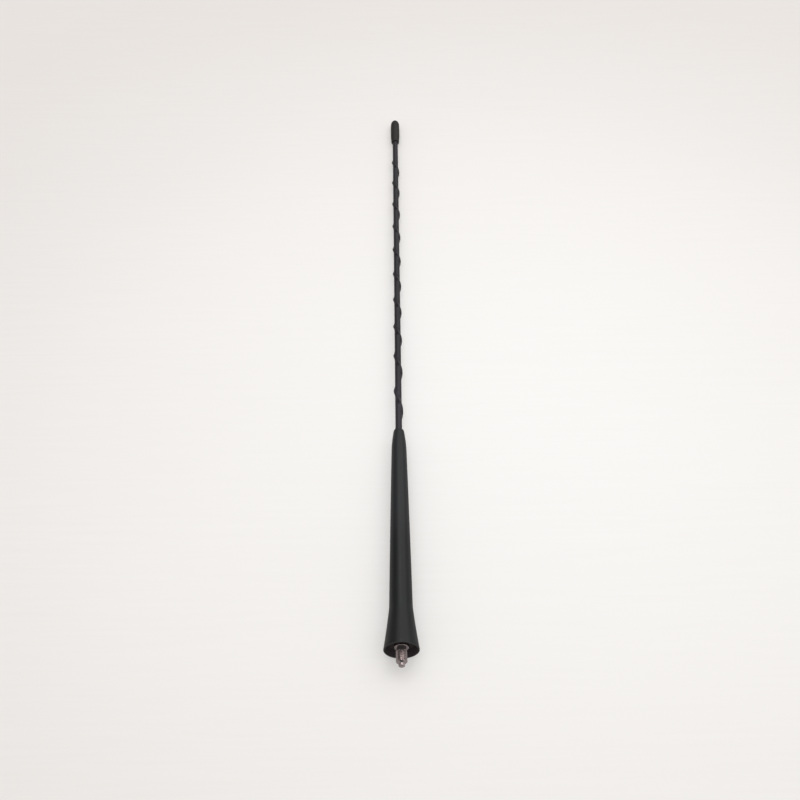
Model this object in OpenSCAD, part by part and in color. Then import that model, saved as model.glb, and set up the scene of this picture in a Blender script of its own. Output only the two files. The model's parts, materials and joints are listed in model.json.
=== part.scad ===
// Whip aerial of a car roof, unscrewed from its base: a glass-fibre rod wound with copper wire,
// a shrunk jacket over both, a moulded rubber grip, a turned stud and a soft cap on the tip.
// The mast stands along +Z. The origin is the middle of the grip's lower rim, which seats on the
// base of the aerial. The stud below that rim screws into the base.

/* [Mast] */
// Height of the tip above the grip's rim
mast_h = 399; // [330:1:600]
// Diameter of the glass-fibre rod
core_d = 2.6; // [2:0.1:3]
// Wall of the shrunk jacket
jacket_wall = 0.3; // [0.2:0.05:0.4]

/* [Winding] */
// Diameter of the copper wire
wire_d = 0.65; // [0.4:0.05:0.7]
// Pitch of the open winding on the upper mast
wrap_pitch = 22; // [16:0.5:30]
// Turns of that pitch before the turns begin to lengthen
even_turns = 7.6; // [5:0.1:9]
// Share by which each lower turn is longer than the one above it
pitch_growth = 0.13; // [0.05:0.01:0.2]
// Angle from +X at which the wire's upper end lies
wire_end_angle = 82; // [0:1:360]
// Plain jacket between the wire's upper end and the cap
plain_len = 17; // [5:1:40]
// Turns of the loading coil inside the grip
coil_turns = 14; // [6:1:20]
// Pitch of the loading coil
coil_pitch = 1.6; // [1:0.1:2]
// Drop of the wire from the loading coil to the solder
lead_drop = 4; // [3:0.5:8]

/* [Grip] */
// Diameter of the lower rim
rim_d = 15.8; // [14.5:0.1:20]
// Bevel on the rim's outer edge
rim_bevel = 0.25; // [0.1:0.05:0.5]
// Height of the crease above the flared foot
crease_h = 20.7; // [10:0.1:30]
// Diameter at the crease
crease_d = 10.56; // [9:0.1:13]
// Height at which the nose begins
shoulder_h = 109.5; // [90:0.5:125]
// Diameter where the nose begins
shoulder_d = 7.54; // [7:0.1:8.5]
// How far the taper between them swells past a straight line
belly = 0.07; // [0:0.01:0.3]
// How far the flared foot hollows behind a straight line
flare_hollow = 0.13; // [0:0.01:0.3]
// Length of the rounded nose
nose_len = 12; // [8:0.5:18]
// Length over which the nose bends inwards
nose_bend = 4.5; // [2:0.5:6]
// Diameter of the mouth's rim
mouth_d = 5.4; // [5.3:0.05:6]
// Rounding of the mouth's edge
mouth_edge = 0.5; // [0.1:0.05:0.6]
// Width of the rim round the recess in the foot
rim_wall = 0.6; // [0.4:0.1:1.5]
// Depth of the recess in the foot
recess_depth = 3.5; // [3:0.1:4.5]
// Diameter of the recess at its floor
recess_floor_d = 12.6; // [9:0.1:13]

/* [Stud] */
// Diameter of the thread
thread_d = 5; // [4:0.5:6]
// Length of the full thread
thread_len = 5; // [3:0.1:12]
// Length of the cone below the thread
lead_cone = 0.8; // [0.4:0.1:1.5]
// Diameter of the dog point
dog_d = 2.8; // [2:0.1:3.5]
// Length of the dog point with its domed end
dog_len = 1.5; // [1:0.1:4]
// Height of the dome on the dog point
dog_dome = 0.7; // [0.2:0.05:0.9]
// Diameter of the relief neck above the thread
neck_d = 4; // [3:0.1:4.1]
// Length of the relief neck
neck_len = 1.4; // [1:0.1:4]
// Diameter of the collar
collar_d = 6.6; // [6.3:0.1:8]
// Thickness of the collar
collar_h = 3.8; // [3.2:0.1:6]
// How far the collar stands out of the floor of the recess
collar_stand = 2.5; // [1:0.1:2.8]
// Chamfer on the collar's edge
collar_chamfer = 0.3; // [0.1:0.05:0.6]
// Diameter over the teeth of the knurl
knurl_d = 6.2; // [5.6:0.1:6.3]
// Depth of the knurl's teeth
knurl_depth = 0.35; // [0.2:0.05:0.6]
// Teeth round the knurl
knurl_teeth = 18; // [12:1:30]
// Length of the knurl
knurl_h = 7.3; // [4:0.1:14]
// Diameter at the bottom of the groove that the rubber grips
groove_d = 4.6; // [4:0.1:5]
// Width of that groove
groove_h = 2; // [1:0.1:3]
// Width of the ring above the groove
ring_h = 2; // [1:0.1:4]
// Diameter of the cup that holds the rod
cup_d = 5; // [4.2:0.1:5.6]
// Depth of the cup
cup_h = 14; // [8:0.5:20]

/* [Solder] */
// Height of the solder on the cup's edge
solder_h = 1.2; // [0.8:0.1:2]
// How far the wire's end stands in the solder
solder_grip = 0.8; // [0.3:0.1:0.8]

/* [Cap] */
// Length of the tip cap
cap_len = 25; // [18:0.5:40]
// Largest diameter of the cap
cap_d = 5.9; // [5.5:0.1:8]
// Diameter of the cap at its mouth
cap_mouth_d = 5; // [4.6:0.1:5.4]
// Diameter of the bead round the cap's mouth
cap_bead_d = 5.2; // [5:0.1:5.4]
// Height of the bead
cap_bead_h = 0.9; // [0.5:0.1:2]
// Height of the widest place above the cap's mouth
cap_widest = 11; // [8:0.5:12]
// Length of the domed end
cap_dome = 5; // [3:0.5:5.5]
// Diameter where the dome begins
cap_dome_d = 5.7; // [5:0.1:5.9]
// Depth of the bore in the cap
cap_bore = 16; // [10:0.5:16.5]

/* [Hidden] */

fit = 0.03;          // play between pieces that are pushed together
coil_play = 0.15;    // play between the jacket's ridge and the chamber in the grip
overcut = 1;         // how far a cutting shape runs past the surface that it opens
round_fn = 96;
turn_steps = 12;     // rings of the winding in each turn
step_angle = 360 / turn_steps;
wire_sides = 6;
wire_arc_steps = 4;  // sides of the jacket's section round the wire
rod_arc_steps = 9;   // sides of the jacket's section round the rod
grip_steps = 4;      // rings of the winding that the nose of the grip holds
lead_steps = 6;      // rings of the winding between the coil and the solder
curve_steps = 8;     // straight pieces in each drawn curve

core_r = core_d / 2;
wire_r = wire_d / 2;
orbit_r = (core_r + wire_r + fit) / cos(step_angle / 2);
flank = acos((core_r - wire_r) / orbit_r);
rod_arc_side = (360 - 2 * flank) / rod_arc_steps;
jacket_play = (core_r + fit) / (cos(step_angle / 2) * cos(rod_arc_side / 2)) - core_r;
jacket_r = core_r + jacket_play + jacket_wall;
ridge_r = orbit_r + wire_r + jacket_play + jacket_wall;
ridge_runout = 1.5;

collar_z = recess_depth - collar_stand;
collar_top = collar_z + collar_h;
knurl_top = collar_top + knurl_h;
groove_top = knurl_top + groove_h;
ring_top = groove_top + ring_h;
cup_top = ring_top + cup_h;
thread_top = collar_z - neck_len;
thread_end = thread_top - thread_len;
dog_top = thread_end - lead_cone;
stud_end = dog_top - dog_len;

cap_z = mast_h - cap_len;
rod_top = cap_z + cap_bore;
wire_top = cap_z - plain_len;
mouth_h = shoulder_h + nose_len;

solder_top = cup_top + solder_h;
coil_base = solder_top + lead_drop;
coil_top = coil_base + coil_turns * coil_pitch;
lengthen_h = wire_top - even_turns * wrap_pitch;
coil_turn = turn_at(coil_top);
coil_end_turn = coil_turn + coil_turns;
mouth_step = floor(turn_steps * turn_at(mouth_h));
jacket_steps = mouth_step + grip_steps + 1;
coil_steps = round(turn_steps * coil_end_turn);
chamber_top = open_z((mouth_step + grip_steps) / turn_steps);
chamber_r = ridge_r + coil_play;

// Turns of the open winding above height z, counted down from the wire's upper end
function turn_at(z) = z > lengthen_h
    ? (wire_top - z) / wrap_pitch
    : even_turns + ln(1 + pitch_growth * (lengthen_h - z) / wrap_pitch) / pitch_growth;

// Height of the open winding after that many turns
function open_z(turn) = turn < even_turns
    ? wire_top - wrap_pitch * turn
    : lengthen_h - wrap_pitch / pitch_growth * (exp(pitch_growth * (turn - even_turns)) - 1);

// Height of the whole winding, with the loading coil at its lower end
function winding_z(turn) = turn < coil_turn ? open_z(turn) : coil_top - (turn - coil_turn) * coil_pitch;

function turned(p, angle) = [p.x * cos(angle) - p.y * sin(angle), p.x * sin(angle) + p.y * cos(angle)];
function ring(section, z, angle) = [for (p = section) concat(turned(p, angle), z)];
function step_ring(section, step) =
    ring(section, open_z(step / turn_steps), wire_end_angle + step * step_angle);

// The jacket's section, off the rod and the wire by a gap: an arc round the wire, two flats and
// an arc round the rod. Where there is no wire it is round.
function section(gap, wound) = concat(
    [for (i = [0 : wire_arc_steps])
        let (a = (2 * i / wire_arc_steps - 1) * flank)
        wound
            ? [orbit_r, 0] + (wire_r + gap) * [cos(a), sin(a)]
            : (core_r + gap) * [cos(0.75 * a), sin(0.75 * a)]],
    [for (i = [0 : rod_arc_steps])
        let (a = flank + i * rod_arc_side)
        (core_r + gap) * [cos(a), sin(a)]]
);

// Rings of the jacket's surface from its upper end down to the cut end inside the grip
function jacket_rings(gap) = concat(
    [
        ring(section(gap, false), rod_top, wire_end_angle),
        ring(section(gap, false), wire_top + wire_r + ridge_runout, wire_end_angle),
        ring(section(gap, true), wire_top + wire_r, wire_end_angle)
    ],
    [for (step = [0 : jacket_steps]) step_ring(section(gap, true), step)]
);

// Two triangles for each side between one ring of points and the ring below it
function skin(rings, sides, start, outwards) = [
    for (i = [0 : rings - 2], j = [0 : sides - 1])
        let (
            a = start + i * sides + j,
            b = start + i * sides + (j + 1) % sides,
            c = a + sides,
            d = b + sides
        )
        each outwards ? [[a, b, c], [b, d, c]] : [[a, c, b], [b, c, d]]
];

// A ring of faces that closes the wall between an outer ring of points and an inner one
function wall_end(outer, inner, sides, upwards) = [
    for (j = [0 : sides - 1])
        let (k = (j + 1) % sides)
        each upwards
            ? [[outer + j, inner + j, outer + k], [inner + j, inner + k, outer + k]]
            : [[outer + j, outer + k, inner + j], [inner + j, outer + k, inner + k]]
];

function joined(rings) = [for (r = rings) each r];

module swept_solid(rings) {
    sides = len(rings[0]);
    last = (len(rings) - 1) * sides;
    polyhedron(
        points = joined(rings),
        faces = concat(
            [[for (j = [sides - 1 : -1 : 0]) j]],
            skin(len(rings), sides, 0, true),
            [[for (j = [0 : sides - 1]) last + j]]
        )
    );
}

module swept_tube(outer, inner) {
    sides = len(outer[0]);
    count = len(outer);
    second = count * sides;
    last = (count - 1) * sides;
    polyhedron(
        points = concat(joined(outer), joined(inner)),
        faces = concat(
            skin(count, sides, 0, true),
            skin(count, sides, second, false),
            wall_end(0, second, sides, true),
            wall_end(last, second + last, sides, false)
        )
    );
}

// Grip: a flared foot, a long slightly swollen taper and a nose that closes on the jacket
taper_slope = (shoulder_d - crease_d) / 2 / (shoulder_h - crease_h);
nose_slope = taper_slope - 4 * belly / (shoulder_h - crease_h);
function taper_r(share) =
    (crease_d + (shoulder_d - crease_d) * share) / 2 + 4 * belly * share * (1 - share);
function flare_r(share) =
    (rim_d + (crease_d - rim_d) * share) / 2 - 4 * flare_hollow * share * (1 - share);
function bent(from, corner, to, t) = (1 - t) ^ 2 * from + 2 * t * (1 - t) * corner + t ^ 2 * to;

function grip_outline() = concat(
    [[0, 0], [rim_d / 2 - rim_bevel, 0]],
    [for (i = [0 : curve_steps - 1])
        let (share = i / curve_steps)
        [flare_r(share), rim_bevel + share * (crease_h - rim_bevel)]],
    [for (i = [0 : curve_steps])
        let (share = i / curve_steps)
        [taper_r(share), crease_h + share * (shoulder_h - crease_h)]],
    [for (i = [1 : curve_steps])
        bent(
            [shoulder_d / 2, shoulder_h],
            [shoulder_d / 2 + nose_slope * nose_bend, shoulder_h + nose_bend],
            [mouth_d / 2, mouth_h - mouth_edge],
            i / curve_steps
        )],
    [for (i = [1 : curve_steps / 2])
        let (a = 180 * i / curve_steps)
        [mouth_d / 2 - mouth_edge, mouth_h - mouth_edge] + mouth_edge * [cos(a), sin(a)]],
    [[0, mouth_h]]
);

module grip_sleeve() {
    color([0.23, 0.235, 0.24])
    difference() {
        rotate_extrude($fn = round_fn) polygon(grip_outline());
        translate([0, 0, -overcut])
            cylinder(d = rim_d - 2 * rim_wall, h = overcut, $fn = round_fn);
        cylinder(d1 = rim_d - 2 * rim_wall, d2 = recess_floor_d, h = recess_depth, $fn = round_fn);
        stud_shank(fit);
        translate([0, 0, ring_top]) cylinder(d = cup_d + 2 * fit, h = cup_h, $fn = round_fn);
        translate([0, 0, cup_top]) cylinder(r = chamber_r, h = chamber_top - cup_top, $fn = round_fn);
        swept_solid([for (step = [mouth_step - 1 : jacket_steps])
            step_ring(section(jacket_play + jacket_wall + fit, true), step)]);
    }
}

// Stud: thread, relief neck, collar, knurled shank and the cup that holds the rod
function knurl(gap) = [
    for (i = [0 : 2 * knurl_teeth - 1])
        let (a = 180 * i / knurl_teeth, r = knurl_d / 2 + gap - (i % 2) * knurl_depth)
        r * [cos(a), sin(a)]
];

function stud_end_outline() = concat(
    [for (i = [0 : curve_steps])
        let (a = 90 * i / curve_steps)
        [dog_d / 2 * sin(a), stud_end + dog_dome * (1 - cos(a))]],
    [
        [dog_d / 2, dog_top],
        [thread_d / 2, thread_end],
        [thread_d / 2, thread_top],
        [neck_d / 2, thread_top],
        [neck_d / 2, collar_z],
        [collar_d / 2 - collar_chamfer, collar_z],
        [collar_d / 2, collar_z + collar_chamfer],
        [collar_d / 2, collar_top],
        [0, collar_top]
    ]
);

// What of the stud lies in the rubber below the cup, made larger all round by a gap
module stud_shank(gap) {
    translate([0, 0, collar_z + collar_chamfer])
        cylinder(d = collar_d + 2 * gap, h = collar_h - collar_chamfer, $fn = round_fn);
    translate([0, 0, collar_top]) linear_extrude(knurl_h) polygon(knurl(gap));
    translate([0, 0, collar_top])
        cylinder(d = groove_d + 2 * gap, h = knurl_h + groove_h + ring_h, $fn = round_fn);
    translate([0, 0, groove_top]) cylinder(d = knurl_d + 2 * gap, h = ring_h, $fn = round_fn);
}

module threaded_stud() {
    color([0.66, 0.62, 0.62]) {
        rotate_extrude($fn = round_fn) polygon(stud_end_outline());
        stud_shank(0);
        translate([0, 0, ring_top]) difference() {
            cylinder(d = cup_d, h = cup_h, $fn = round_fn);
            cylinder(d = core_d + 2 * fit, h = cup_h + overcut, $fn = round_fn);
        }
    }
}

module core_rod() {
    color([0.85, 0.83, 0.72])
    translate([0, 0, ring_top]) cylinder(d = core_d, h = rod_top - ring_top, $fn = round_fn);
}

// Wire: the open winding, the loading coil and a lead that drops into the solder
function wire_angle(step) = wire_end_angle + step * step_angle;
function wire_mid(step) =
    let (share = max(0, (step - coil_steps) / lead_steps))
    concat(
        orbit_r * [cos(wire_angle(step)), sin(wire_angle(step))],
        step < coil_steps
            ? winding_z(step / turn_steps)
            : lead_z - (lead_z - solder_top - wire_d) * share ^ 2
    );
lead_z = winding_z(coil_steps / turn_steps);
lead_end = coil_steps + lead_steps;

function wire_ring(mid, before, after, angle) =
    let (
        along = (after - before) / norm(after - before),
        out = [cos(angle), sin(angle), 0],
        side = cross(out, along)
    )
    [for (s = [0 : wire_sides - 1])
        let (a = 360 * s / wire_sides)
        mid + wire_r * (cos(a) * out + sin(a) * side)];

module antenna_wire() {
    path = concat(
        [for (step = [0 : lead_end]) wire_mid(step)],
        [concat(orbit_r * [cos(wire_angle(lead_end)), sin(wire_angle(lead_end))], solder_top - solder_grip)]
    );
    last = len(path) - 1;
    color([0.72, 0.42, 0.25])
    swept_solid([for (i = [0 : last])
        wire_ring(path[i], path[max(i - 1, 0)], path[min(i + 1, last)], wire_angle(min(i, lead_end)))]);
}

module rod_jacket() {
    color([0.25, 0.25, 0.26])
    swept_tube(jacket_rings(jacket_play + jacket_wall), jacket_rings(jacket_play));
}

// Cap: a bead at the mouth, a swelling barrel and a long dome
function cap_outline() = concat(
    [[0, 0], [cap_bead_d / 2, 0], [cap_bead_d / 2, cap_bead_h], [cap_mouth_d / 2, cap_bead_h]],
    [for (i = [1 : curve_steps])
        bent(
            [cap_mouth_d / 2, cap_bead_h],
            [cap_d / 2, cap_bead_h + cap_widest / 3],
            [cap_d / 2, cap_widest],
            i / curve_steps
        )],
    [for (i = [0 : curve_steps])
        let (a = 90 * i / curve_steps)
        [cap_dome_d / 2 * cos(a), cap_len - cap_dome * (1 - sin(a))]]
);

module tip_cap() {
    color([0.23, 0.225, 0.22])
    translate([0, 0, cap_z]) difference() {
        rotate_extrude($fn = round_fn) polygon(cap_outline());
        translate([0, 0, -overcut])
            cylinder(r = jacket_r + fit, h = cap_bore + overcut, $fn = round_fn);
    }
}

// Solder: a ring on the cup's edge with the wire's end standing in it
module solder_joint() {
    color([0.75, 0.76, 0.78])
    translate([0, 0, cup_top]) difference() {
        cylinder(d1 = cup_d, d2 = 2 * (orbit_r + wire_d), h = solder_h, $fn = round_fn);
        translate([0, 0, -overcut])
            cylinder(d = core_d + 2 * fit, h = solder_h + 2 * overcut, $fn = round_fn);
        translate(concat(orbit_r * [cos(wire_angle(lead_end)), sin(wire_angle(lead_end))], solder_h - solder_grip))
            cylinder(r = wire_r + fit, h = solder_grip + overcut, $fn = round_fn);
    }
}

grip_sleeve();
threaded_stud();
core_rod();
antenna_wire();
rod_jacket();
tip_cap();
solder_joint();
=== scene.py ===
"""The finished look of a car's screw-on roof whip, laid on a pale table under a soft light.

The script is laid out as an add-on. Sizes and colours are properties, and each piece has an
operator.
"""

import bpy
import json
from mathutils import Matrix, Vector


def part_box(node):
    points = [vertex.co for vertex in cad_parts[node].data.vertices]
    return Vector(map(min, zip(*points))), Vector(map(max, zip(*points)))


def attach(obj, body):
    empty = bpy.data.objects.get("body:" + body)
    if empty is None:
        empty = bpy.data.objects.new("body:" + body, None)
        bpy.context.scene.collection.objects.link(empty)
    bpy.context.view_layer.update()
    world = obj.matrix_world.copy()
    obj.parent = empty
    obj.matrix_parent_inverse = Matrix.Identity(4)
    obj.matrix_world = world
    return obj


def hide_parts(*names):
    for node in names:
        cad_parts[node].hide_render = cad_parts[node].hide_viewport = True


bl_info = {
    "name": "Car Roof Whip",
    "version": (1, 0, 0),
    "blender": (4, 5, 0),
    "location": "View3D > Sidebar > Roof Whip",
    "description": "Models a car's roof whip: grip, stud, wound jacket and tip cap, on a table",
    "category": "Object",
}

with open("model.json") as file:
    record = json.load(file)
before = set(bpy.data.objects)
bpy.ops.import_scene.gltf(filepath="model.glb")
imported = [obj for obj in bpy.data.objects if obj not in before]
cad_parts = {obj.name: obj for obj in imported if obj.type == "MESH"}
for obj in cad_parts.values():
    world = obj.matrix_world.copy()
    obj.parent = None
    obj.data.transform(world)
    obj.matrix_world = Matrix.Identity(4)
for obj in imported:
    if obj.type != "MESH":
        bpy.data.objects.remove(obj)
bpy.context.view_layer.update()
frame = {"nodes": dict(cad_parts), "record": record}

import json
import math

import bmesh
import bpy
from bpy.props import FloatProperty, FloatVectorProperty, IntProperty, PointerProperty
from bpy.types import Operator, Panel, PropertyGroup
from mathutils import Vector

MM = 0.001
BODY = "root"
GRIP_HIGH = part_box("grip_sleeve")[1]
STUD_LOW, STUD_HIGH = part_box("threaded_stud")
JACKET_LOW, JACKET_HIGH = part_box("rod_jacket")
CAP_LOW, CAP_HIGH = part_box("tip_cap")
STUD_MOUNT = next(mount for mount in frame["record"]["mounts"] if mount["name"] == "stud")
THREAD_RADIUS = STUD_MOUNT["dims"]["r_mm"] * MM
THREAD_LENGTH = STUD_MOUNT["dims"]["length_mm"] * MM
THREAD_LOW = STUD_MOUNT["pos_m"][2] - THREAD_LENGTH / 2
THREAD_HIGH = STUD_MOUNT["pos_m"][2] + THREAD_LENGTH / 2
# The least step between two rings, and how far off a height a vertex may lie and still count.
HAIR = MM / 100
# Columns of the stud's mesh, four to each tooth of the knurl and the gap beside it.
STUD_COLUMNS = 72
# How many times paler the painted highlight makes the rubber and the jacket.
HIGHLIGHT_PALENESS = 1.7


def length(name, description, default):
    """A length in metres, as a property."""
    return FloatProperty(
        name=name, description=description, default=default, min=0.0, unit="LENGTH", precision=5
    )


def place(name, description, default):
    """A height in metres, as a property that may be below zero."""
    return FloatProperty(
        name=name, description=description, default=default, unit="LENGTH", precision=5
    )


def heading(name, description, degrees):
    """An angle, given in degrees, as a property."""
    return FloatProperty(
        name=name, description=description, default=math.radians(degrees), subtype="ANGLE"
    )


def number(name, description, default):
    """A plain number, as a property."""
    return FloatProperty(name=name, description=description, default=default)


def tint(name, description, default):
    """A colour, as a property."""
    return FloatVectorProperty(
        name=name,
        description=description,
        default=default,
        size=3,
        min=0.0,
        max=1.0,
        subtype="COLOR",
    )


class WHIP_PG_winding(PropertyGroup):
    """How the wire runs round the rod, counted in turns down from its upper end."""

    rod_radius: length("Rod radius", "Radius of the round part of the jacket", 1.717 * MM)
    wire_radius: length("Wire radius", "Radius of the jacket where it wraps the wire", 0.742 * MM)
    orbit: length("Orbit", "Distance of the wire's middle from the rod's axis", 1.713 * MM)
    top: place("Top", "Height of the wire's upper end", CAP_LOW.z - 17 * MM)
    end_angle: heading("End angle", "Angle from +X at which the wire's upper end lies", 82)
    pitch: length("Pitch", "Pitch of the even turns", 22 * MM)
    even_turns: number("Even turns", "Turns before they lengthen", 7.6)
    growth: number("Growth", "Share by which each lower turn is longer than the last", 0.13)
    fade: length("Fade", "Length over which the raised strand ends", 1.5 * MM)
    wall: length("Wall", "Wall of the jacket", 0.3 * MM)
    turn_steps: IntProperty(
        name="Turn steps", description="Rings of the mesh in one turn", default=24, min=8
    )


class WHIP_PG_grip(PropertyGroup):
    """Sizes of the moulded rubber grip."""

    rim_radius: length("Rim radius", "Radius of the lower rim", GRIP_HIGH.y)
    rim_edge: length("Rim edge", "Rounding of the rim's outer edge", 0.25 * MM)
    rim_wall: length("Rim wall", "Width of the rim round the recess", 0.6 * MM)
    recess_depth: length("Recess depth", "Depth of the recess in the foot", 3.5 * MM)
    recess_floor: length("Recess floor", "Radius of the recess at its floor", 6.3 * MM)
    recess_corner: length("Recess corner", "Rounding at the recess's floor", 0.4 * MM)
    recess_lip: length("Recess lip", "Rounding of the rim's inner edge", 0.12 * MM)
    flare_hollow: length("Flare hollow", "How far the foot's side hollows", 0.13 * MM)
    crease_height: place("Crease height", "Height of the crease above the foot", 20.7 * MM)
    crease_radius: length("Crease radius", "Radius at the crease", 5.28 * MM)
    crease_ease: length("Crease ease", "Length over which the crease is eased", 0.5 * MM)
    shoulder_height: place("Shoulder height", "Height at which the nose begins", 109.5 * MM)
    shoulder_radius: length("Shoulder radius", "Radius where the nose begins", 3.77 * MM)
    belly: length("Belly", "Swelling of the taper", 0.07 * MM)
    nose_bend: length("Nose bend", "Length over which the nose turns inwards", 4.5 * MM)
    mouth_radius: length("Mouth radius", "Radius of the mouth's rim", 2.7 * MM)
    mouth_edge: length("Mouth edge", "Rounding of the mouth's edge", 0.5 * MM)
    nose_grip: length("Nose grip", "Length of jacket that the nose holds", 9.0 * MM)
    chamber_radius: length("Chamber radius", "Radius of the chamber round the coil", 2.64 * MM)
    play: length("Play", "Play between the grip and what it holds", 0.03 * MM)


class WHIP_PG_stud(PropertyGroup):
    """Sizes of the turned stud."""

    thread_pitch: length("Thread pitch", "Pitch of the thread", 0.8 * MM)
    thread_depth: length("Thread depth", "Depth of the thread", 0.46 * MM)
    thread_chamfer: length("Thread chamfer", "Chamfer at the thread's upper end", 0.2 * MM)
    dog_radius: length("Dog radius", "Radius of the dog point", 1.4 * MM)
    dog_dome: length("Dog dome", "Height of the domed end", 0.7 * MM)
    lead: length("Lead", "Length of the cone below the thread", 0.8 * MM)
    neck_radius: length("Neck radius", "Radius of the relief neck", 2.0 * MM)
    collar_height: place("Collar height", "Height of the collar's lower face", 1.0 * MM)
    collar_radius: length("Collar radius", "Radius of the collar", STUD_HIGH.y)
    collar_thickness: length("Collar thickness", "Thickness of the collar", 3.8 * MM)
    collar_edge: length("Collar edge", "Rounding of the collar's edge", 0.3 * MM)
    knurl_radius: length("Knurl radius", "Radius over the knurl's teeth", 3.1 * MM)
    knurl_depth: length("Knurl depth", "Depth of the knurl's teeth", 0.35 * MM)
    knurl_length: length("Knurl length", "Length of the knurl", 7.3 * MM)
    groove_radius: length("Groove radius", "Radius at the bottom of the groove", 2.3 * MM)
    groove_width: length("Groove width", "Width of the groove", 2.0 * MM)
    ring_width: length("Ring width", "Width of the ring above the groove", 2.0 * MM)
    cup_radius: length("Cup radius", "Radius of the cup that holds the rod", 2.5 * MM)
    bore_radius: length("Bore radius", "Radius of the cup's bore", 1.33 * MM)


class WHIP_PG_cap(PropertyGroup):
    """Sizes of the rubber tip cap."""

    bead_radius: length("Bead radius", "Radius of the bead at the mouth", 2.6 * MM)
    bead_height: length("Bead height", "Height of the bead", 0.9 * MM)
    bead_step: length("Bead step", "Height in which the bead turns into the side", 0.1 * MM)
    mouth_radius: length("Mouth radius", "Radius above the bead", 2.5 * MM)
    widest_radius: length("Widest radius", "Largest radius", CAP_HIGH.y)
    widest_height: length("Widest height", "Height of the widest place above the mouth", 11.0 * MM)
    dome_radius: length("Dome radius", "Radius where the dome begins", 2.85 * MM)
    dome_length: length("Dome length", "Length of the dome", 5.0 * MM)
    bore_radius: length("Bore radius", "Radius of the bore", 1.747 * MM)
    bore_depth: length("Bore depth", "Depth of the bore", 16.0 * MM)
    bore_edge: length("Bore edge", "Rounding of the bore's edge", 0.2 * MM)


class WHIP_PG_finish(PropertyGroup):
    """Colours of the surfaces, as the light shows them."""

    grip: tint("Grip", "Moulded rubber of the grip", (0.0118, 0.0125, 0.0135))
    jacket: tint("Jacket", "Shrunk plastic over rod and wire", (0.0158, 0.0135, 0.0178))
    cap: tint("Cap", "Rubber of the tip cap", (0.0165, 0.0148, 0.0132))
    nickel: tint("Nickel", "Plating of the stud", (0.58, 0.495, 0.49))
    # Painted highlight: the rim's face and outer edge are paler than the grip, as the rim catches
    # light.
    rim: tint("Rim", "Scuffed rim of the grip's foot", (0.030, 0.0285, 0.029))
    dust: tint("Dust", "Brownish dust in the recess", (0.048, 0.038, 0.040))
    # Painted shade: a dark, dull colour that stands in for the shadow in the stud's relief neck.
    painted_neck_shade: tint("Grease", "Dirty grease in the stud's neck", (0.062, 0.050, 0.049))
    table: tint("Table", "Top of the table", (0.95, 0.94, 0.922))
    # Painted light falloff: the table darkens towards this colour away from the whip.
    table_painted_dim: tint("Table far", "Top of the table far from the whip", (0.74, 0.702, 0.675))
    core: tint("Core", "Resin of the rod inside", (0.62, 0.60, 0.48))
    copper: tint("Copper", "Wire round the rod", (0.80, 0.42, 0.26))
    solder: tint("Solder", "Solder at the stud", (0.62, 0.63, 0.65))


class WHIP_PG_stage(PropertyGroup):
    """Camera, table and light."""

    camera_place: FloatVectorProperty(
        name="Camera place",
        description="Where the camera stands",
        default=(-2.7 * MM, -389.2 * MM, -194.5 * MM),
        subtype="TRANSLATION",
        unit="LENGTH",
    )
    camera_turn: FloatVectorProperty(
        name="Camera turn",
        description="How the camera is turned",
        default=(math.radians(130.89), math.radians(0.6), 0.0),
        subtype="EULER",
    )
    lens: number("Lens", "Focal length in millimetres", 44.1)
    table_size: length("Table size", "Side of the table's top", 6.0)
    light_size: length("Light size", "Side of the soft light", 2.7)
    light_azimuth: heading("Light azimuth", "Angle of the soft light from -Y to +X", 12)
    light_rise: heading("Light rise", "Angle of the soft light towards the tip", 24)
    light_level: number("Light level", "Brightness of the soft light", 0.75)
    window_size: length("Window size", "Side of the small window that gives the glints", 0.14)
    window_azimuth: heading("Window azimuth", "Angle of the window from -Y to +X", -4)
    window_rise: heading("Window rise", "Angle of the window towards the tip", 26)
    window_level: number("Window level", "Brightness of the small window", 11.0)
    light_distance: length("Light distance", "Distance of light and window from the whip", 1.7)
    room_level: number("Room level", "Light that the room gives", 0.66)
    table_glow: number("Table glow", "Share of the table's paleness that casts no light", 0.3)


PROPERTY_GROUPS = {
    "whip_winding": WHIP_PG_winding,
    "whip_grip": WHIP_PG_grip,
    "whip_stud": WHIP_PG_stud,
    "whip_cap": WHIP_PG_cap,
    "whip_finish": WHIP_PG_finish,
    "whip_stage": WHIP_PG_stage,
}


# Mesh work

def deselect_all():
    if bpy.context.mode != "OBJECT":
        bpy.ops.object.mode_set(mode="OBJECT")
    bpy.ops.object.select_all(action="DESELECT")


def make_active(piece):
    deselect_all()
    piece.select_set(True)
    bpy.context.view_layer.objects.active = piece


def pick(test):
    """In edit mode, selects the vertices whose place passes a test, and nothing else."""
    bpy.ops.mesh.select_mode(type="VERT")
    bpy.ops.mesh.select_all(action="DESELECT")
    mesh = bmesh.from_edit_mesh(bpy.context.object.data)
    for vertex in mesh.verts:
        vertex.select = test(vertex.co)
    mesh.select_flush(True)
    bmesh.update_edit_mesh(bpy.context.object.data)


def draw_out(rise):
    """Extrudes the selected ring along Z."""
    bpy.ops.mesh.extrude_region_move(TRANSFORM_OT_translate={"value": (0, 0, rise)})


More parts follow.
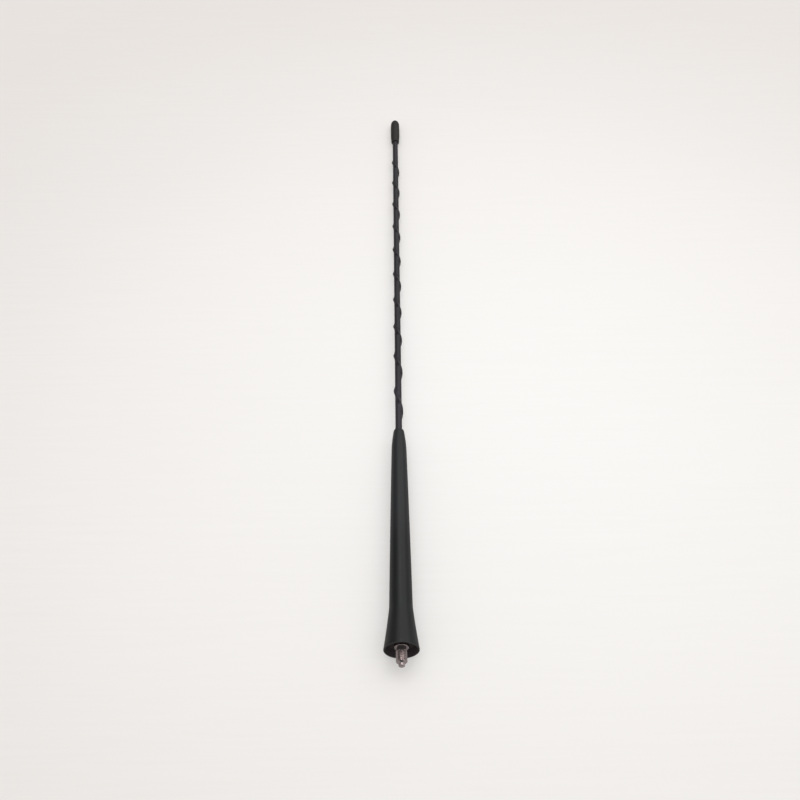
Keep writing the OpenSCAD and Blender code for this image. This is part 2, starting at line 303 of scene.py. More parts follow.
def lathe(name, outline, columns):
    """A turned shape, drawn out along (radius, height) points that begin and end on the axis."""
    deselect_all()
    radius, height = outline[1]
    bpy.ops.mesh.primitive_circle_add(
        vertices=columns, radius=radius, fill_type="TRIFAN", location=(0, 0, height)
    )
    piece = bpy.context.object
    piece.name = name
    piece.data.name = name
    bpy.ops.object.transform_apply(location=True, rotation=True, scale=True)
    bpy.ops.object.mode_set(mode="EDIT")
    pick(lambda co: co.xy.length < radius / 2)
    bpy.ops.transform.translate(value=(0, 0, outline[0][1] - height))
    pick(lambda co: co.xy.length > radius / 2)
    for next_radius, next_height in outline[2:-1]:
        draw_out(next_height - height)
        share = next_radius / radius
        bpy.ops.transform.resize(value=(share, share, 1), center_override=(0, 0, next_height))
        radius, height = next_radius, next_height
    draw_out(outline[-1][1] - height)
    bpy.ops.mesh.merge(type="CENTER")
    bpy.ops.mesh.select_all(action="SELECT")
    bpy.ops.mesh.normals_make_consistent(inside=False)
    bpy.ops.object.mode_set(mode="OBJECT")
    return piece


def rounded(centre, radius, first, last, steps):
    """Points (radius, height) of a rounded edge, from one direction to the other in degrees."""
    made = []
    for i in range(steps + 1):
        angle = math.radians(first + (last - first) * i / steps)
        made.append((centre[0] + radius * math.cos(angle), centre[1] + radius * math.sin(angle)))
    return made


def bent(start, corner, end, steps):
    """Points of a curve from start by way of corner to end. Start itself is left out."""
    made = []
    for i in range(1, steps + 1):
        t = i / steps
        made.append(
            tuple(
                (1 - t) ** 2 * a + 2 * t * (1 - t) * b + t * t * c
                for a, b, c in zip(start, corner, end)
            )
        )
    return made


def bowed(start, end, swell, share):
    """A value at a share of the way from start to end, raised by swell half way along."""
    return start + (end - start) * share + 4 * swell * share * (1 - share)


def soften(piece, degrees):
    """Smooth shading, with creases where faces meet at more than this angle."""
    make_active(piece)
    bpy.ops.object.shade_smooth_by_angle(angle=math.radians(degrees))


def hand_over(piece, node, material):
    """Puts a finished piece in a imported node's place."""
    piece.data.materials.clear()
    piece.data.materials.append(material)
    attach(piece, BODY)
    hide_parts(node)


# The winding

def winding_height(winding, turn):
    """Height of the wire after that many turns down from its upper end."""
    if turn < winding.even_turns:
        return winding.top - winding.pitch * turn
    knee = winding.top - winding.pitch * winding.even_turns
    longer = math.exp(winding.growth * (turn - winding.even_turns)) - 1
    return knee - winding.pitch / winding.growth * longer


def winding_turn(winding, height):
    """Turns from the wire's upper end down to a height."""
    knee = winding.top - winding.pitch * winding.even_turns
    if height > knee:
        return (winding.top - height) / winding.pitch
    longer = winding.growth * (knee - height) / winding.pitch
    return winding.even_turns + math.log(1 + longer) / winding.growth


def jacket_section(winding, gap):
    """The jacket's section, an arc round the wire at +X and then one round the rod."""
    wire_steps, rod_steps = 12, 27
    flank = math.acos((winding.rod_radius - winding.wire_radius) / winding.orbit)
    points = []
    for i in range(wire_steps + 1):
        angle = flank * (2 * i / wire_steps - 1)
        reach = winding.wire_radius + gap
        points.append((winding.orbit + reach * math.cos(angle), reach * math.sin(angle)))
    for i in range(rod_steps + 1):
        angle = flank + (2 * math.pi - 2 * flank) * i / rod_steps
        reach = winding.rod_radius + gap
        points.append((reach * math.cos(angle), reach * math.sin(angle)))
    return points


def turned(point, angle, height):
    """A point of a section, turned round the axis and set at a height."""
    (x, y), cosine, sine = point, math.cos(angle), math.sin(angle)
    return Vector((x * cosine - y * sine, x * sine + y * cosine, height))


def wound_skin(name, winding, gap, high, low):
    """The jacket's skin, drawn down from high to low as its section turns with the wire."""
    section = jacket_section(winding, gap)
    first, last = winding_turn(winding, high), winding_turn(winding, low)
    steps = math.ceil((last - first) * winding.turn_steps)
    deselect_all()
    bpy.ops.mesh.primitive_circle_add(
        vertices=len(section), radius=winding.rod_radius, fill_type="NOTHING"
    )
    piece = bpy.context.object
    piece.name = name
    piece.data.name = name
    start_angle = winding.end_angle + 2 * math.pi * first
    for vertex, point in zip(piece.data.vertices, section):
        vertex.co = turned(point, start_angle, high)
    bpy.ops.object.mode_set(mode="EDIT")
    bpy.ops.mesh.select_mode(type="VERT")
    bpy.ops.mesh.select_all(action="SELECT")
    height = high
    step_turn = (last - first) / steps
    for i in range(1, steps + 1):
        next_height = winding_height(winding, first + i * step_turn)
        draw_out(next_height - height)
        # With no window this operator turns clockwise for a positive angle.
        bpy.ops.transform.rotate(
            value=-2 * math.pi * step_turn, orient_axis="Z", center_override=(0, 0, next_height)
        )
        height = next_height
    return piece


class WHIP_OT_jacket(Operator):
    """Model the shrunk jacket with the strand that the wire raises under it."""

    bl_idname = "whip.jacket"
    bl_label = "Jacket"

    def execute(self, context):
        winding = context.scene.whip_winding
        piece = wound_skin("wound_jacket", winding, 0.0, winding.top, JACKET_LOW.z)
        pick(lambda co: co.z > winding.top - HAIR)
        draw_out(winding.fade)
        mesh = bmesh.from_edit_mesh(piece.data)
        for vertex in mesh.verts:
            if vertex.select:
                vertex.co.xy = vertex.co.xy.normalized() * winding.rod_radius
        bmesh.update_edit_mesh(piece.data)
        draw_out(JACKET_HIGH.z - winding.top - winding.fade)
        bpy.ops.mesh.select_all(action="SELECT")
        bpy.ops.mesh.normals_make_consistent(inside=False)
        bpy.ops.object.mode_set(mode="OBJECT")
        bpy.ops.object.modifier_add(type="SOLIDIFY")
        wall = piece.modifiers[-1]
        wall.thickness = winding.wall
        wall.offset = -1.0
        bpy.ops.object.modifier_apply(modifier=wall.name)
        soften(piece, degrees=40)
        hand_over(piece, "rod_jacket", jacket_material(context.scene.whip_finish))
        return {"FINISHED"}


# The grip

def shank_tops(stud):
    """Heights at which the stud's collar, knurl, groove and ring end."""
    collar = stud.collar_height + stud.collar_thickness
    knurl = collar + stud.knurl_length
    groove = knurl + stud.groove_width
    return collar, knurl, groove, groove + stud.ring_width


def grip_outline(grip, stud):
    """Down inside from the coil's chamber past the stud, over the foot and up to the mouth."""
    play = grip.play
    chamber_top = GRIP_HIGH.z - grip.nose_grip
    collar_top, knurl_top, groove_top, ring_top = shank_tops(stud)
    outline = [
        (0, chamber_top),
        (grip.chamber_radius, chamber_top),
        (grip.chamber_radius, STUD_HIGH.z),
        (stud.cup_radius + play, STUD_HIGH.z),
        (stud.cup_radius + play, ring_top),
        (stud.knurl_radius + play, ring_top),
        (stud.knurl_radius + play, groove_top),
        (stud.groove_radius + play, groove_top),
        (stud.groove_radius + play, knurl_top),
        (stud.knurl_radius + play, knurl_top),
        (stud.knurl_radius + play, collar_top),
        (stud.collar_radius + play, collar_top),
        (stud.collar_radius + play, grip.recess_depth),
    ]
    corner = grip.recess_corner
    centre = (grip.recess_floor - corner, grip.recess_depth - corner)
    outline += rounded(centre, corner, first=90, last=0, steps=4)
    lip = grip.recess_lip
    centre = (grip.rim_radius - grip.rim_wall + lip, lip)
    outline += rounded(centre, lip, first=180, last=270, steps=3)
    edge = grip.rim_edge
    outline += rounded((grip.rim_radius - edge, edge), edge, first=-90, last=0, steps=4)
    taper = grip.shoulder_height - grip.crease_height

    def flare_point(height):
        share = (height - edge) / (grip.crease_height - edge)
        return bowed(grip.rim_radius, grip.crease_radius, -grip.flare_hollow, share), height

    def taper_point(height):
        share = (height - grip.crease_height) / taper
        return bowed(grip.crease_radius, grip.shoulder_radius, grip.belly, share), height

    below_crease = grip.crease_height - grip.crease_ease
    above_crease = grip.crease_height + grip.crease_ease
    flare_steps, taper_steps = 12, 20
    for i in range(1, flare_steps + 1):
        outline.append(flare_point(edge + (below_crease - edge) * i / flare_steps))
    outline += bent(
        outline[-1], (grip.crease_radius, grip.crease_height), taper_point(above_crease), steps=4
    )
    # A ring close above the crease keeps its soft shading short.
    outline.append(taper_point(above_crease + grip.crease_ease))
    for i in range(1, taper_steps + 1):
        rise = (grip.shoulder_height - above_crease) * i / taper_steps
        outline.append(taper_point(above_crease + rise))
    shoulder_slope = (grip.shoulder_radius - grip.crease_radius - 4 * grip.belly) / taper
    bend_radius = grip.shoulder_radius + shoulder_slope * grip.nose_bend
    outline += bent(
        outline[-1],
        (bend_radius, grip.shoulder_height + grip.nose_bend),
        (grip.mouth_radius, GRIP_HIGH.z - grip.mouth_edge),
        steps=14,
    )
    edge = grip.mouth_edge
    centre = (grip.mouth_radius - edge, GRIP_HIGH.z - edge)
    outline += rounded(centre, edge, first=15, last=90, steps=5)
    outline.append((0, GRIP_HIGH.z))
    return outline


class WHIP_OT_grip(Operator):
    """Model the moulded grip, with the bore in its nose cut to the wound jacket."""

    bl_idname = "whip.grip"
    bl_label = "Grip"

    def execute(self, context):
        scene = context.scene
        grip, winding = scene.whip_grip, scene.whip_winding
        piece = lathe("moulded_grip", grip_outline(grip, scene.whip_stud), columns=96)
        overcut = 1.5 * MM
        ends = (GRIP_HIGH.z + overcut, GRIP_HIGH.z - grip.nose_grip - overcut)
        cutter = wound_skin("nose_cutter", winding, grip.play, *ends)
        for end in ends:
            pick(lambda co, end=end: abs(co.z - end) < HAIR)
            bpy.ops.mesh.edge_face_add()
        bpy.ops.mesh.select_all(action="SELECT")
        bpy.ops.mesh.normals_make_consistent(inside=False)
        make_active(piece)
        bpy.ops.object.modifier_add(type="BOOLEAN")
        cut = piece.modifiers[-1]
        cut.operation = "DIFFERENCE"
        cut.object = cutter
        bpy.ops.object.modifier_apply(modifier=cut.name)
        bpy.data.objects.remove(cutter)
        soften(piece, degrees=30)
        hand_over(piece, "grip_sleeve", grip_material(scene.whip_finish, grip))
        return {"FINISHED"}


# The stud

def thread_bite(share):
    """How deep the thread is cut, from 0 on the crest to 1 in the root, at a share of its pitch."""
    from_crest = abs((share % 1.0) - 0.5) * 2
    flat, root = 0.14, 0.8
    return min(max((from_crest - flat) / (root - flat), 0.0), 1.0)


def stud_outline(stud):
    """From the dog point up over the thread, neck, collar and shank, and down the cup's bore."""
    collar_top, knurl_top, groove_top, ring_top = shank_tops(stud)
    outline = []
    dome_steps, lead_rings, rings_per_turn = 8, 10, 10
    for i in range(dome_steps + 1):
        angle = math.pi / 2 * i / dome_steps
        rise = stud.dog_dome * (1 - math.cos(angle))
        outline.append((stud.dog_radius * math.sin(angle), STUD_LOW.z + rise))
    for i in range(lead_rings + 1):
        share = i / lead_rings
        radius = stud.dog_radius + (THREAD_RADIUS - stud.dog_radius) * share
        outline.append((radius, THREAD_LOW - stud.lead * (1 - share)))
    thread_rings = round(THREAD_LENGTH / stud.thread_pitch * rings_per_turn)
    for i in range(1, thread_rings + 1):
        outline.append((THREAD_RADIUS, THREAD_LOW + THREAD_LENGTH * i / thread_rings))
    outline += [
        (stud.neck_radius, THREAD_HIGH + HAIR),
        (stud.neck_radius, stud.collar_height),
    ]
    edge = stud.collar_edge
    centre = (stud.collar_radius - edge, stud.collar_height + edge)
    outline += rounded(centre, edge, first=-90, last=0, steps=4)
    outline += [
        (stud.collar_radius, collar_top),
        (stud.knurl_radius, collar_top + HAIR),
        (stud.knurl_radius, knurl_top),
        (stud.groove_radius, knurl_top + HAIR),
        (stud.groove_radius, groove_top),
        (stud.knurl_radius, groove_top + HAIR),
        (stud.knurl_radius, ring_top),
        (stud.cup_radius, ring_top + HAIR),
        (stud.cup_radius, STUD_HIGH.z),
        (stud.bore_radius, STUD_HIGH.z),
        (stud.bore_radius, ring_top),
        (0, ring_top),
    ]
    return outline


class WHIP_OT_stud(Operator):
    """Model the plated stud with its cut thread."""

    bl_idname = "whip.stud"
    bl_label = "Stud"

    def execute(self, context):
        stud = context.scene.whip_stud
        piece = lathe("plated_stud", stud_outline(stud), STUD_COLUMNS)
        collar_top, knurl_top = shank_tops(stud)[:2]
        for vertex in piece.data.vertices:
            co = vertex.co
            turn = math.atan2(co.y, co.x) / (2 * math.pi)
            if THREAD_LOW - stud.lead <= co.z <= THREAD_HIGH + HAIR:
                bite = thread_bite(co.z / stud.thread_pitch - turn)
                chamfer = max(0.0, co.z - THREAD_HIGH + stud.thread_chamfer)
                radius = THREAD_RADIUS - max(stud.thread_depth * bite, chamfer)
                if co.xy.length > radius:
                    co.xy = co.xy.normalized() * radius
            on_knurl = (
                collar_top < co.z < knurl_top + HAIR / 2
                and co.xy.length > stud.knurl_radius - HAIR
            )
            if on_knurl and round(turn * STUD_COLUMNS) % 4 > 1:
                co.xy = co.xy.normalized() * (stud.knurl_radius - stud.knurl_depth)
        soften(piece, degrees=32)
        material = nickel_material(context.scene.whip_finish, stud)
        hand_over(piece, "threaded_stud", material)
        return {"FINISHED"}


# The cap

def cap_outline(cap):
    """From the end of the bore down to the mouth, over the bead and up to the tip."""
    mouth = CAP_LOW.z
    outline = [
        (0, mouth + cap.bore_depth),
        (cap.bore_radius, mouth + cap.bore_depth),
    ]
    edge = cap.bore_edge
    outline += rounded((cap.bore_radius + edge, mouth + edge), edge, first=180, last=270, steps=3)
    bead = cap.bead_height / 2
    outline += rounded((cap.bead_radius - bead, mouth + bead), bead, first=-90, last=60, steps=7)
    widest = (cap.widest_radius, mouth + cap.widest_height)
    outline += bent(
        (cap.mouth_radius, mouth + cap.bead_height + cap.bead_step),
        (cap.widest_radius, mouth + cap.bead_height + cap.widest_height / 3),
        widest,
        steps=12,
    )
    dome_low = CAP_HIGH.z - cap.dome_length
    outline += bent(
        widest,
        (cap.widest_radius, (mouth + cap.widest_height + dome_low) / 2),
        (cap.dome_radius, dome_low),
        steps=6,
    )
    dome_steps = 14
    for i in range(1, dome_steps):
        angle = math.pi / 2 * i / dome_steps
        rise = cap.dome_length * math.sin(angle)
        outline.append((cap.dome_radius * math.cos(angle), dome_low + rise))
    outline.append((0, CAP_HIGH.z))
    return outline


class WHIP_OT_cap(Operator):
    """Model the rubber cap on the tip."""

    bl_idname = "whip.cap"
    bl_label = "Tip cap"

    def execute(self, context):
        piece = lathe("rubber_cap", cap_outline(context.scene.whip_cap), columns=64)
        soften(piece, degrees=35)
        hand_over(piece, "tip_cap", cap_material(context.scene.whip_finish))
        return {"FINISHED"}


# Materials

class Value:
    """A node's output that can stand in sums and products. Each operation adds a Math node."""

    def __init__(self, shader, socket):
        self.shader, self.socket = shader, socket

    def maths(self, operation, other, swap=False):
        pair = (other, self) if swap else (self, other)
        return self.shader.node("ShaderNodeMath", {"operation": operation}, dict(enumerate(pair)))

    def __add__(self, other):
        return self.maths("ADD", other)

    __radd__ = __add__

    def __sub__(self, other):
        return self.maths("SUBTRACT", other)

    def __rsub__(self, other):
        return self.maths("SUBTRACT", other, swap=True)

    def __mul__(self, other):
        return self.maths("MULTIPLY", other)


class Shader:
    """The node tree of one material or of the world."""

    def __init__(self, owner):
        owner.use_nodes = True
        self.tree = owner.node_tree
        self.tree.nodes.clear()

    def node(self, kind, settings=None, inputs=None, output=0):
        """Adds a node, sets it, fills or links its sockets and returns one of its outputs."""
        made = self.tree.nodes.new(kind)
        for name, value in (settings or {}).items():
            if name == "stops":
                self.set_stops(made.color_ramp, value)
            else:
                setattr(made, name, value)
        for name, value in (inputs or {}).items():
            if isinstance(value, Value):
                self.tree.links.new(value.socket, made.inputs[name])
            else:
                made.inputs[name].default_value = value
        return Value(self, made.outputs[output]) if made.outputs else made

    @staticmethod
    def set_stops(ramp, stops):
        while len(ramp.elements) < len(stops):
            ramp.elements.new(1.0)
        for element, (position, colour) in zip(ramp.elements, stops):
            element.position = position
            element.color = colour

    def place(self):
        """The point on the object, in metres."""
        return self.node("ShaderNodeTexCoord", output="Object")

    def height(self):
        """How far up the whip the point lies."""
        return self.node("ShaderNodeSeparateXYZ", inputs={"Vector": self.place()}, output="Z")

    def vector(self, operation, *vectors, output="Value"):
        """A Vector Math node's output."""
        inputs = dict(enumerate(vectors))
        return self.node("ShaderNodeVectorMath", {"operation": operation}, inputs, output)

    def from_axis(self):
        """How far the point lies from the whip's axis."""
        across = self.vector("MULTIPLY", self.place(), (1, 1, 0), output="Vector")
        return self.vector("LENGTH", across)

    def ray(self, kind):
        """1 for rays of one kind, and 0 for the others."""
        return self.node("ShaderNodeLightPath", output=f"Is {kind} Ray")

    def ease(self, value, low, high):
        """0 where the value is at low, 1 where it is at high, and smooth between them."""
        return self.node(
            "ShaderNodeMapRange",
            {"interpolation_type": "SMOOTHSTEP"},
            {"Value": value, "From Min": low, "From Max": high},
        )

    def noise(self, size, stretch=(1, 1, 1), detail=3.0):
        """Noise from 0 to 1 whose lumps are about size metres wide, drawn out by stretch."""
        lumps = self.node(
            "ShaderNodeMapping",
            {},
            {"Vector": self.place(), "Scale": tuple(1 / (size * s) for s in stretch)},
        )
        return self.node(
            "ShaderNodeTexNoise",
            {},
            {"Vector": lumps, "Scale": 1.0, "Detail": detail, "Roughness": 0.55},
        )

    def between(self, share, low, high):
        """A colour between two, by a share from 0 to 1."""
        low, high = (end if isinstance(end, Value) else (*end, 1) for end in (low, high))
        # The node's colours go in at sockets 6 and 7 and come out at 2.
        inputs = {0: share, 6: low, 7: high}
        return self.node("ShaderNodeMix", {"data_type": "RGBA"}, inputs, output=2)

    def mottled(self, share, colour, dark, pale):
        """A colour that changes from dark to pale times itself, by a share from 0 to 1."""
        return self.between(share, scaled(colour, dark), scaled(colour, pale))

    def bump(self, height, strength, distance):
        """A normal for small relief."""
        return self.node(
            "ShaderNodeBump", {}, {"Height": height, "Strength": strength, "Distance": distance}
        )

    def surface(self, **sockets):
        """Ends the tree in a Principled surface. Underscores in the names stand for blanks."""
        inputs = {name.replace("_", " "): value for name, value in sockets.items()}
        shader = self.node("ShaderNodeBsdfPrincipled", {}, inputs)
        self.node("ShaderNodeOutputMaterial", {}, {"Surface": shader})


def scaled(colour, factor):
    """A colour times a factor."""
    return tuple(min(c * factor, 1.0) for c in colour)


def grey(level):
    """A grey, as a colour of a ramp."""
    return (level, level, level, 1)


def grip_material(finish, grip):
    """Moulded rubber with a fine grain, soft marks, dust in the recess, and painted highlights on
    its upper part and rim.
    """
    material = bpy.data.materials.new("grip_rubber")
    shader = Shader(material)
    grain = shader.noise(0.22 * MM, detail=2.0)
    marks = shader.noise(9 * MM, stretch=(1, 1, 3.5), detail=4.0)
    fine = shader.noise(0.9 * MM, detail=2.0)
    height, radius = shader.height(), shader.from_axis()
    rubber = shader.mottled(marks * 0.7 + grain * 0.3, finish.grip, dark=0.85, pale=1.2)
    middle = (grip.crease_height + grip.shoulder_height) / 2
    # Painted highlight: the rubber is made paler towards the nose, where a brighter highlight
    # falls.
    painted_highlight_band = shader.ease(height, middle - 15 * MM, middle + 8 * MM)
    rubber_with_painted_highlight = shader.between(painted_highlight_band * (0.6 + marks * 0.4), rubber, scaled(finish.grip, HIGHLIGHT_PALENESS))
    recess_radius, recess_depth = grip.rim_radius - grip.rim_wall, grip.recess_depth
    in_recess = shader.ease(radius, recess_radius + 0.05 * MM, recess_radius)
    dust = in_recess * shader.ease(height, recess_depth + 0.3 * MM, recess_depth + 0.1 * MM)
    # Painted highlight on the rim's face and rounded outer edge, outside the recess.
    painted_rim_highlight = shader.ease(height, 0.4 * MM, 0.15 * MM) * (1.0 - in_recess)
    shader.surface(
        Base_Color=shader.between(dust, shader.between(painted_rim_highlight, rubber_with_painted_highlight, finish.rim), finish.dust),
        Roughness=0.27 + marks * 0.12 + fine * 0.05 + dust * 0.3,
        Specular_IOR_Level=0.31,
        Normal=shader.bump(grain, 0.25, 0.02 * MM),
    )
    return material


def jacket_material(finish):
    """Smooth shrunk plastic with faint stretch marks along the rod, made paler near the grip by a
    painted highlight.
    """
    material = bpy.data.materials.new("jacket_plastic")
    shader = Shader(material)
    stretch = shader.noise(0.5 * MM, stretch=(1, 1, 14))
    mottle = shader.noise(2.6 * MM, stretch=(1, 1, 2))
    plastic = shader.mottled(mottle, finish.jacket, dark=0.75, pale=1.3)
    # Painted highlight: the jacket is made paler just above the grip.
    painted_highlight_near_grip = shader.ease(shader.height(), GRIP_HIGH.z + 60 * MM, GRIP_HIGH.z + 15 * MM)
    shader.surface(
        Base_Color=shader.between(painted_highlight_near_grip, plastic, scaled(finish.jacket, HIGHLIGHT_PALENESS)),
        Roughness=0.25 + mottle * 0.14,
        Specular_IOR_Level=0.33,
        Normal=shader.bump(stretch, 0.3, 0.03 * MM),
    )
    return material


def cap_material(finish):
    """Soft rubber, duller and a little browner than the grip, and paler at its mouth, where light
    is painted on the bead's shaded underside.
    """
    material = bpy.data.materials.new("cap_rubber")
    shader = Shader(material)
    grain = shader.noise(0.18 * MM, detail=2.0)
    marks = shader.noise(3.5 * MM, stretch=(1, 1, 2), detail=4.0)
    rubber = shader.mottled(marks, finish.cap, dark=0.8, pale=1.3)
    # Painted light: the underside of the bead at the mouth is made paler to lift the shade that
    # falls there.
    painted_light_at_mouth = shader.ease(shader.height(), CAP_LOW.z + 0.5 * MM, CAP_LOW.z + 0.2 * MM)
    shader.surface(
        Base_Color=shader.between(painted_light_at_mouth, rubber, scaled(finish.cap, 2.6)),
        Roughness=0.42 + marks * 0.15,
        Specular_IOR_Level=0.33,
        Normal=shader.bump(grain, 0.35, 0.02 * MM),
    )
    return material


def nickel_material(finish, stud):
    """Worn nickel plate with turning marks, dull stains and painted shade in the relief neck."""
    material = bpy.data.materials.new("nickel_plate")
    shader = Shader(material)
    turning = shader.noise(0.05 * MM, stretch=(400, 400, 1), detail=2.0)
    stain = shader.noise(0.7 * MM, detail=4.0)
    height, radius, neck_radius = shader.height(), shader.from_axis(), stud.neck_radius
    # Painted shade: the relief neck and the top of the thread are darkened and dulled where the
    # collar shades them.
    near_axis = shader.ease(radius, neck_radius + 0.35 * MM, neck_radius + 0.05 * MM)
    neck_shade_share = near_axis * shader.ease(height, THREAD_HIGH - 0.05 * MM, THREAD_HIGH + 0.15 * MM)
    plate = shader.mottled(stain, finish.nickel, dark=0.5, pale=1.3)
    shader.surface(
        Base_Color=shader.between(neck_shade_share, plate, finish.painted_neck_shade),
        Metallic=1.0 - neck_shade_share,
        Roughness=0.13 + stain * 0.2 + neck_shade_share * 0.3,
        Normal=shader.bump(turning, 0.2, 0.01 * MM),
    )
    return material


def inner_material(name, colour, metallic, roughness, lump, along):
    """The finish of a hidden piece, with lumps that are drawn out along it."""
    material = bpy.data.materials.new(name)
    shader = Shader(material)
    mottle = shader.noise(lump, stretch=(1, 1, along))
    shader.surface(
        Base_Color=shader.mottled(mottle, colour, dark=0.8, pale=1.15),
        Metallic=metallic,
        Roughness=roughness + mottle * 0.15,
        Normal=shader.bump(mottle, 0.2, 0.02 * MM),
    )
    return material


class WHIP_OT_inner_parts(Operator):
    """Finish the rod, the wire and the solder that lie inside the jacket and the grip."""

    bl_idname = "whip.inner_parts"
    bl_label = "Inner parts"

    def execute(self, context):
        finish = context.scene.whip_finish
        for node, colour, metallic, roughness, lump, along in (
            ("core_rod", finish.core, 0.0, 0.4, 0.3 * MM, 30),
            ("antenna_wire", finish.copper, 1.0, 0.25, 0.4 * MM, 1),
            ("solder_joint", finish.solder, 1.0, 0.4, 0.5 * MM, 1),
        ):
            material = inner_material(f"{node}_finish", colour, metallic, roughness, lump, along)
            mesh = frame["nodes"][node].data
            mesh.materials.clear()
            mesh.materials.append(material)
        return {"FINISHED"}


# Stage

def seen_rays(shader):
    """1 for what the camera sees straight, mirrored or through glass, 0 for what gives light."""
    return shader.ray("Camera") + shader.ray("Glossy") + shader.ray("Transmission")


def one_way_table(finish, glow):
    """A pale matt table top with a painted pool of light round the whip, dimmer in reflections, and
    open to views from behind.
    """
    # A painted pool of light: the table is palest near this point and darker further off.
    painted_light_centre = (70 * MM, 0.0, 140 * MM)
    mirror_tone, mirror_glow = (0.03, 0.03, 0.03), 0.48
    material = bpy.data.materials.new("table_top")
    shader = Shader(material)
    painted_light_falloff = shader.ease(shader.vector("DISTANCE", shader.place(), painted_light_centre), 0.0, 500 * MM)
    mottle = shader.noise(300 * MM, stretch=(3, 1, 1), detail=2.0)
    streaks = shader.noise(1.6 * MM, stretch=(30, 1, 1))
    far = painted_light_falloff * 0.75 + mottle * 0.12 + streaks * 0.13
    tone = shader.between(far, finish.table, finish.table_painted_dim)
    matt = shader.node("ShaderNodeBsdfDiffuse", {}, {"Color": tone})
    mirrored = shader.ray("Glossy")
    glowing = shader.between(mirrored, tone, mirror_tone)
    pale = shader.node("ShaderNodeEmission", {}, {"Color": glowing, "Strength": 1.2})
    share = seen_rays(shader) * glow + mirrored * (mirror_glow - glow)
    top = shader.node("ShaderNodeMixShader", {}, {0: share, 1: matt, 2: pale})
    clear = shader.node("ShaderNodeBsdfTransparent")
    behind = shader.node("ShaderNodeNewGeometry", output="Backfacing")
    mixed = shader.node("ShaderNodeMixShader", {}, {0: behind, 1: top, 2: clear})
    shader.node("ShaderNodeOutputMaterial", {}, {"Surface": mixed})
    return material


def light_the_room(level):
    """Pale to the camera and dimmer as a light.

    Reflections darken to the left, far below the whip and round the camera.
    """
    seen_level = 0.94
    bright_side, camera_side = (0.6, -0.8, -0.35), (0.0, -0.89, -0.45)
    # Levels of what is mirrored, at positions from -Z at 0 to +Z at 1.
    levels = ((0.0, 0.1), (0.09, 0.14), (0.2, 1.0), (0.38, 0.9), (0.48, 0.53))
    world = bpy.data.worlds.new("room")
    bpy.context.scene.world = world
    shader = Shader(world)
    direction = shader.node("ShaderNodeTexCoord", output="Generated")
    to_bright_side = shader.ease(shader.vector("DOT_PRODUCT", direction, bright_side), 0.0, 0.5)
    side = 0.31 + to_bright_side * 0.64
    upward = shader.node("ShaderNodeSeparateXYZ", inputs={"Vector": direction}, output="Z")
    band = shader.node(
        "ShaderNodeValToRGB",
        {"stops": [(position, grey(tone)) for position, tone in levels]},
        {"Fac": upward * 0.5 + 0.5},
    )
    at_camera = shader.ease(shader.vector("DOT_PRODUCT", direction, camera_side), 0.9, 0.97)
    mirrored_level = side * band * (1.0 - at_camera * 0.75)
    strength = (
        level
        + seen_rays(shader) * (seen_level - level)
        - shader.ray("Glossy") * (seen_level - mirrored_level)
    )
    room = shader.node(
        "ShaderNodeBackground", {}, {"Color": (1.0, 0.995, 0.99, 1), "Strength": strength}
    )
    shader.node("ShaderNodeOutputWorld", {}, {"Surface": room})


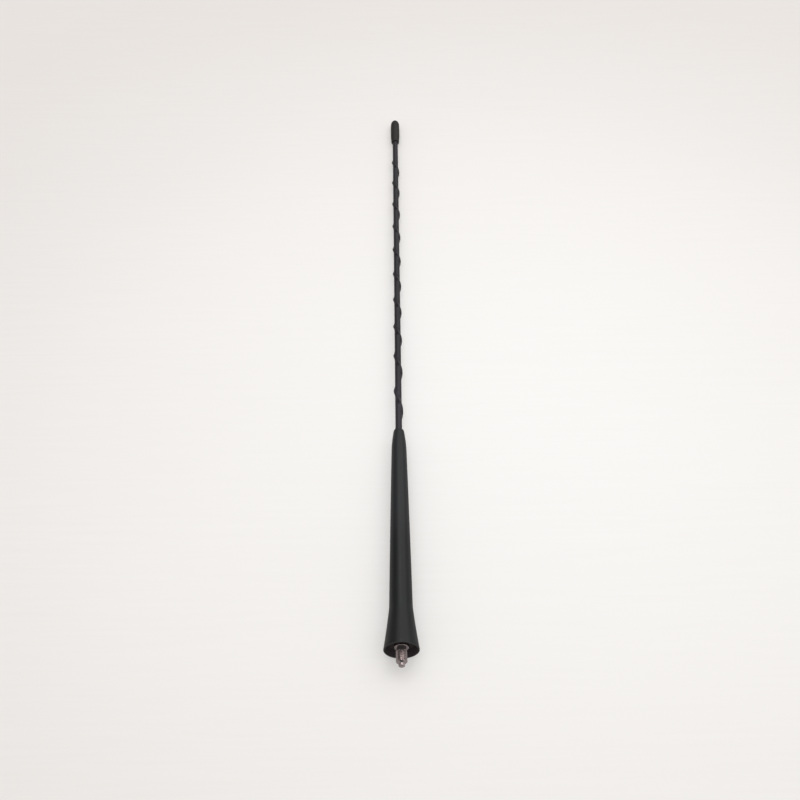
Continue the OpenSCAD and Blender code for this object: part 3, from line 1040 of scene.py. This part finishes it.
class WHIP_OT_stage(Operator):
    """Set up the table, the light and the camera."""

    bl_idname = "whip.stage"
    bl_label = "Table, light and camera"

    def execute(self, context):
        scene, stage = context.scene, context.scene.whip_stage
        scene.view_settings.view_transform = "Standard"
        deselect_all()
        # The whip rests on the table with its foot's rim and the widest place of its cap.
        foot = Vector((0, GRIP_HIGH.y, 0))
        cap = Vector((0, CAP_HIGH.y, CAP_LOW.z + scene.whip_cap.widest_height))
        lean = math.atan2(foot.y - cap.y, cap.z - foot.z)
        bpy.ops.mesh.primitive_plane_add(
            size=stage.table_size, location=foot, rotation=(math.pi / 2 + lean, 0, 0)
        )
        table = context.object
        table.name = "table_top"
        bpy.ops.object.transform_apply(location=True, rotation=True, scale=True)
        table.data.materials.append(one_way_table(scene.whip_finish, stage.table_glow))
        aim = Vector((0, 0, GRIP_HIGH.z + 80 * MM))
        for name, kind in (("soft_light", "light"), ("small_window", "window")):
            azimuth, rise, size, level = (
                getattr(stage, f"{kind}_{key}") for key in ("azimuth", "rise", "size", "level")
            )
            towards = Vector((math.sin(azimuth), -math.cos(azimuth), math.tan(rise))).normalized()
            bpy.ops.object.light_add(type="AREA", location=aim + towards * stage.light_distance)
            lamp = context.object
            lamp.name = name
            lamp.rotation_euler = towards.to_track_quat("Z", "Y").to_euler()
            lamp.data.size = size
            lamp.data.energy = level * math.pi * size ** 2
        light_the_room(stage.room_level)
        bpy.ops.object.camera_add(location=stage.camera_place, rotation=stage.camera_turn)
        camera = context.object
        camera.name = "camera"
        camera.data.lens = stage.lens
        camera.data.clip_start = 10 * MM
        scene.camera = camera
        return {"FINISHED"}


OPERATORS = (
    WHIP_OT_stage,
    WHIP_OT_jacket,
    WHIP_OT_grip,
    WHIP_OT_stud,
    WHIP_OT_cap,
    WHIP_OT_inner_parts,
)


class WHIP_PT_panel(Panel):
    """Lists the steps that build the whip."""

    bl_label = "Roof Whip"
    bl_idname = "WHIP_PT_panel"
    bl_space_type = "VIEW_3D"
    bl_region_type = "UI"
    bl_category = "Roof Whip"

    def draw(self, context):
        for operator in OPERATORS:
            self.layout.operator(operator.bl_idname)
        for name in PROPERTY_GROUPS:
            group = getattr(context.scene, name)
            box = self.layout.box()
            for key in group.bl_rna.properties.keys():
                if key not in {"rna_type", "name"}:
                    box.prop(group, key)


def register():
    for name, group in PROPERTY_GROUPS.items():
        bpy.utils.register_class(group)
        setattr(bpy.types.Scene, name, PointerProperty(type=group))
    for operator in OPERATORS:
        bpy.utils.register_class(operator)
    bpy.utils.register_class(WHIP_PT_panel)


def unregister():
    bpy.utils.unregister_class(WHIP_PT_panel)
    for operator in reversed(OPERATORS):
        bpy.utils.unregister_class(operator)
    for name, group in reversed(PROPERTY_GROUPS.items()):
        delattr(bpy.types.Scene, name)
        bpy.utils.unregister_class(group)


def main():
    register()
    bpy.ops.whip.stage()
    bpy.ops.whip.jacket()
    bpy.ops.whip.grip()
    bpy.ops.whip.stud()
    bpy.ops.whip.cap()
    bpy.ops.whip.inner_parts()


if __name__ == "__main__":
    main()
